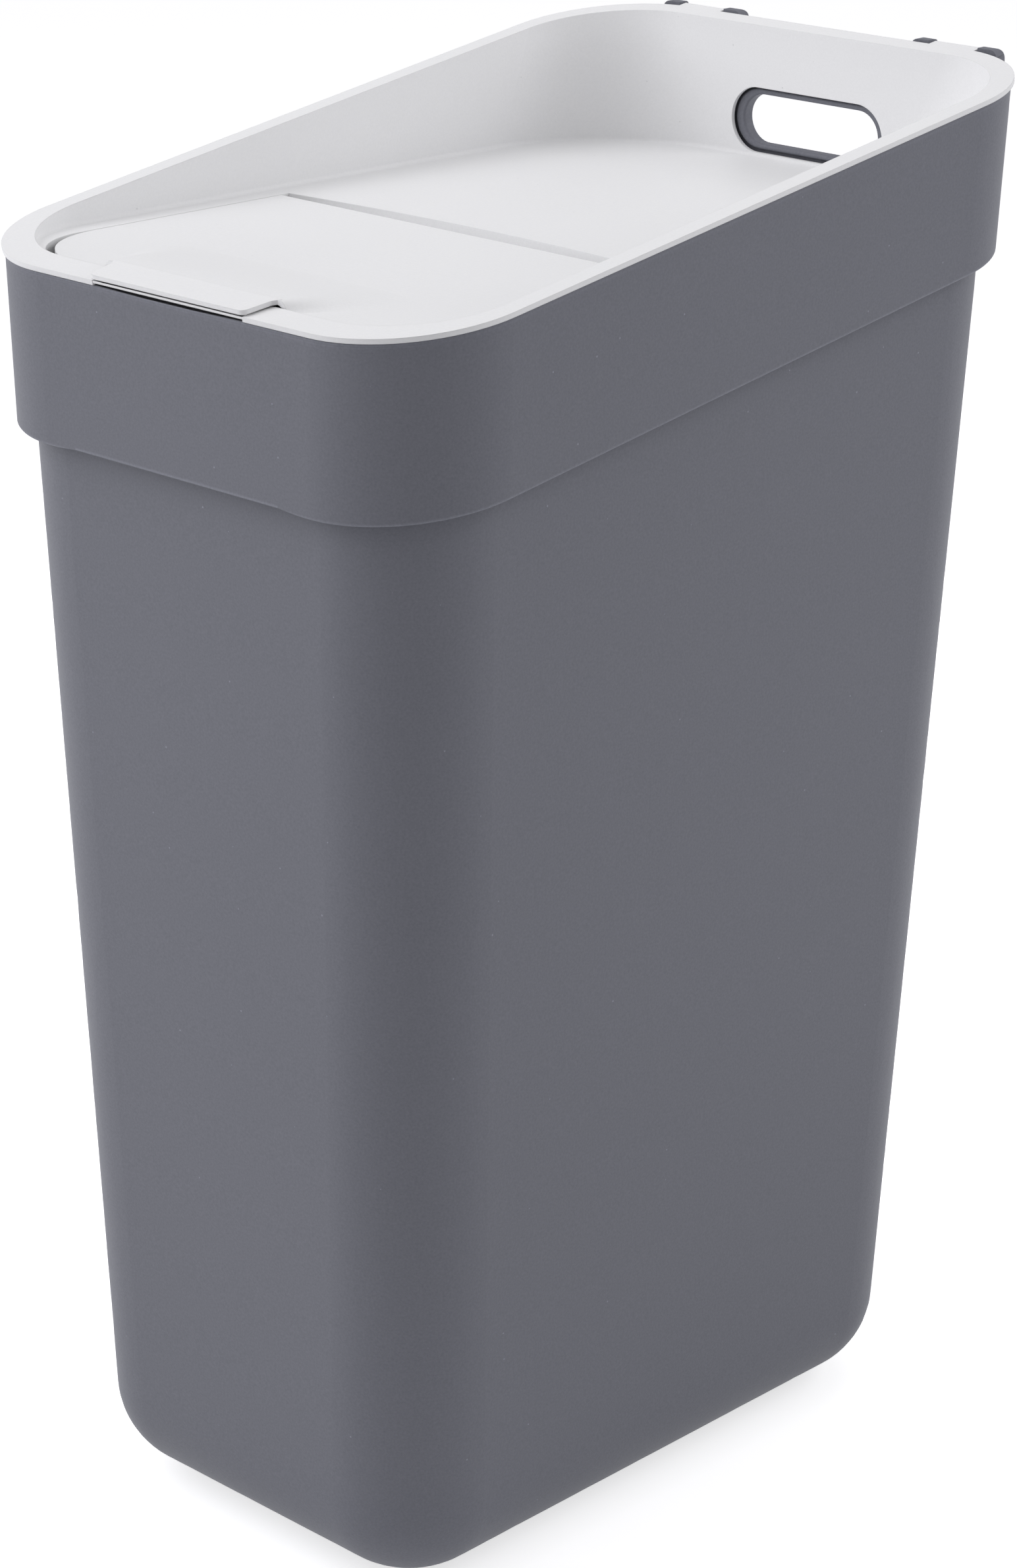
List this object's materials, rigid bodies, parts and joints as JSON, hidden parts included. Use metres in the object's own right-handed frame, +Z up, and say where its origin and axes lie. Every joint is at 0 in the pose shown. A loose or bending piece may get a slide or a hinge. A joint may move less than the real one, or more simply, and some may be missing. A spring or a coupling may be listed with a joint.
{
  "type": "lidded waste bin",
  "caption": "Tall tapered rectangular waste bin with a stepped collar, a sloping rim lid, a hinged flap with a lifting tab and a handle hole through the back.",
  "frame": {"origin": "centre of the bounding box's footprint, on the floor under the feet", "axes": "+Z up, -Y towards the front with the flap's tab, +X to the right as seen from the front"},
  "size_m": [0.26, 0.3845, 0.5938],
  "materials": {
    "bucket_plastic": "fine matte texture, dark blue-grey",
    "lid_plastic": "fine matte texture, near white",
    "foot_rubber": "matte black"
  },
  "bodies": {
    "bucket": {"bucket": "bucket_plastic", "foot_front_left": "foot_rubber", "foot_front_right": "foot_rubber", "foot_rear_left": "foot_rubber", "foot_rear_right": "foot_rubber"},
    "lid": {"lid": "lid_plastic"},
    "flap": {"flap": "lid_plastic"}
  },
  "joints": [
    {"name": "lid_lift", "type": "slide", "parent": "bucket", "child": "lid", "axis": [0, 0, 1], "range_m": [0, 0.12]},
    {"name": "flap_hinge", "type": "hinge", "parent": "lid", "child": "flap", "pos_m": [0, -0.0319, 0.53209], "axis": [-1, 0, 0], "range_deg": [0, 95]}
  ]
}
